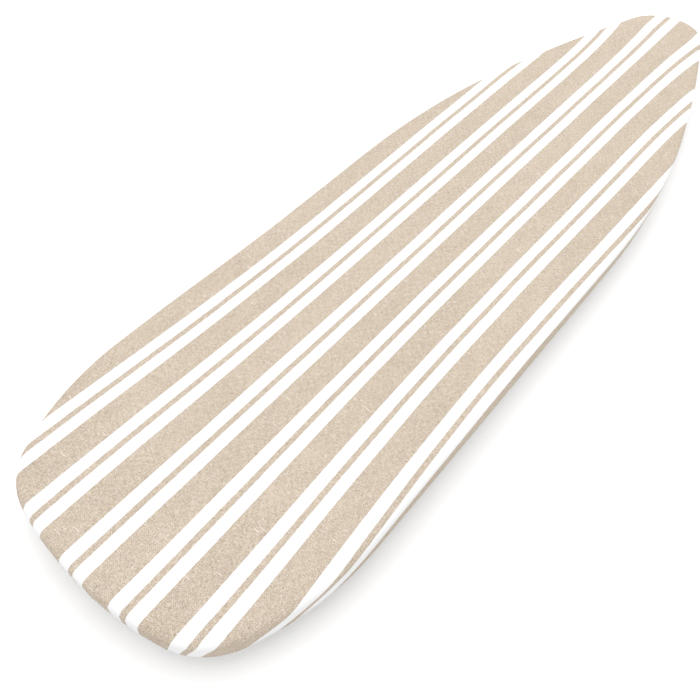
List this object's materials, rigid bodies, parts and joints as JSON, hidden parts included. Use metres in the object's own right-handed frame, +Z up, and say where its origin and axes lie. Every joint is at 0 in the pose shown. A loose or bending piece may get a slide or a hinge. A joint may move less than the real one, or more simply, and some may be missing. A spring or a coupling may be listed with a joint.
{
  "type": "ironing board",
  "caption": "Ironing board with a long tapering padded top in a striped cotton cover, folded flat on scissor legs with a sliding height lock and swivelling rubber feet.",
  "frame": {"origin": "On the floor, midway along and across the covered top, with the legs folded.", "axes": "+X to the narrow nose, +Y to the left edge seen from above with the nose ahead, +Z up out of the ironing face."},
  "size_m": [1.3765, 0.3906, 0.058],
  "materials": {
    "cover_cotton": "woven matt",
    "pad_felt": "felt",
    "hem_webbing": "woven matt",
    "top_enamel": "satin",
    "leg_enamel": "satin",
    "zinc_steel": "satin",
    "nylon": "matt",
    "dark_plastic": "matt",
    "foot_rubber": "matt"
  },
  "bodies": {
    "board": {"cover": "cover_cotton", "pad": "pad_felt", "hem_elastic": "hem_webbing", "rim_channel": "top_enamel", "top_sheet": "top_enamel", "slide_rail_left": "top_enamel", "slide_rail_right": "top_enamel", "cross_ribs_tail": "top_enamel", "cross_ribs_middle": "top_enamel", "cross_ribs_nose": "top_enamel", "rod_bracket_tail": "top_enamel", "rod_bracket_nose": "top_enamel", "pivot_bush_left": "nylon", "pivot_bush_right": "nylon", "lock_rod": "zinc_steel", "rod_retainers": "zinc_steel"},
    "outer_leg": {"outer_leg_tube_left": "leg_enamel", "outer_leg_tube_right": "leg_enamel", "pivot_axle": "zinc_steel", "pivot_spacers": "nylon", "pivot_end_caps": "dark_plastic", "outer_foot_bar": "leg_enamel", "outer_foot_saddles": "leg_enamel", "outer_tube_plugs": "dark_plastic", "scissor_rivets": "zinc_steel", "scissor_washers": "nylon"},
    "inner_leg": {"inner_leg_tube_left": "leg_enamel", "inner_leg_tube_right": "leg_enamel", "slide_axle": "zinc_steel", "rail_glides": "nylon", "inner_foot_bar": "leg_enamel", "inner_foot_saddles": "leg_enamel", "inner_tube_plugs": "dark_plastic", "inner_brace_lower": "leg_enamel", "inner_brace_upper": "leg_enamel"},
    "carriage": {"carriage_block": "dark_plastic", "lever_pin": "zinc_steel", "lever_spring": "zinc_steel"},
    "lever": {"lock_plate": "zinc_steel", "lever_bar": "zinc_steel", "lever_grips": "dark_plastic"},
    "nose_foot_left": {"outer_foot_left": "foot_rubber"},
    "nose_foot_right": {"outer_foot_right": "foot_rubber"},
    "tail_foot_left": {"inner_foot_left": "foot_rubber"},
    "tail_foot_right": {"inner_foot_right": "foot_rubber"}
  },
  "joints": [
    {"name": "leg_fold", "type": "hinge", "parent": "board", "child": "outer_leg", "pos_m": [-0.632, 0, 0.038], "axis": [0, 1, 0], "range_deg": [0, 52]},
    {"name": "scissor_pivot", "type": "hinge", "parent": "outer_leg", "child": "inner_leg", "pos_m": [-0.074, 0, 0.038], "axis": [0, 1, 0], "range_deg": [-104, 0]},
    {"name": "carriage_hinge", "type": "hinge", "parent": "inner_leg", "child": "carriage", "pos_m": [0.484, 0, 0.038], "axis": [0, 1, 0], "range_deg": [0, 52]},
    {"name": "lock_lever", "type": "hinge", "parent": "carriage", "child": "lever", "pos_m": [0.502, 0, 0.043], "axis": [0, 1, 0], "range_deg": [0, 8], "stiffness_Nm_per_rad": 0.2, "springref_deg": -20.05},
    {"name": "nose_foot_left_swivel", "type": "hinge", "parent": "outer_leg", "child": "nose_foot_left", "pos_m": [0.448, 0.093, 0.013], "axis": [0, 1, 0], "range_deg": [-52, 0]},
    {"name": "nose_foot_right_swivel", "type": "hinge", "parent": "outer_leg", "child": "nose_foot_right", "pos_m": [0.448, -0.093, 0.013], "axis": [0, 1, 0], "range_deg": [-52, 0]},
    {"name": "tail_foot_left_swivel", "type": "hinge", "parent": "inner_leg", "child": "tail_foot_left", "pos_m": [-0.596, 0.137, 0.013], "axis": [0, 1, 0], "range_deg": [0, 52]},
    {"name": "tail_foot_right_swivel", "type": "hinge", "parent": "inner_leg", "child": "tail_foot_right", "pos_m": [-0.596, -0.137, 0.013], "axis": [0, 1, 0], "range_deg": [0, 52]}
  ],
  "couplings": [
    {"joint": "scissor_pivot", "follows": "leg_fold", "ratio": -2},
    {"joint": "carriage_hinge", "follows": "leg_fold", "ratio": 1},
    {"joint": "nose_foot_left_swivel", "follows": "leg_fold", "ratio": -1},
    {"joint": "nose_foot_right_swivel", "follows": "leg_fold", "ratio": -1},
    {"joint": "tail_foot_left_swivel", "follows": "leg_fold", "ratio": 1},
    {"joint": "tail_foot_right_swivel", "follows": "leg_fold", "ratio": 1}
  ]
}
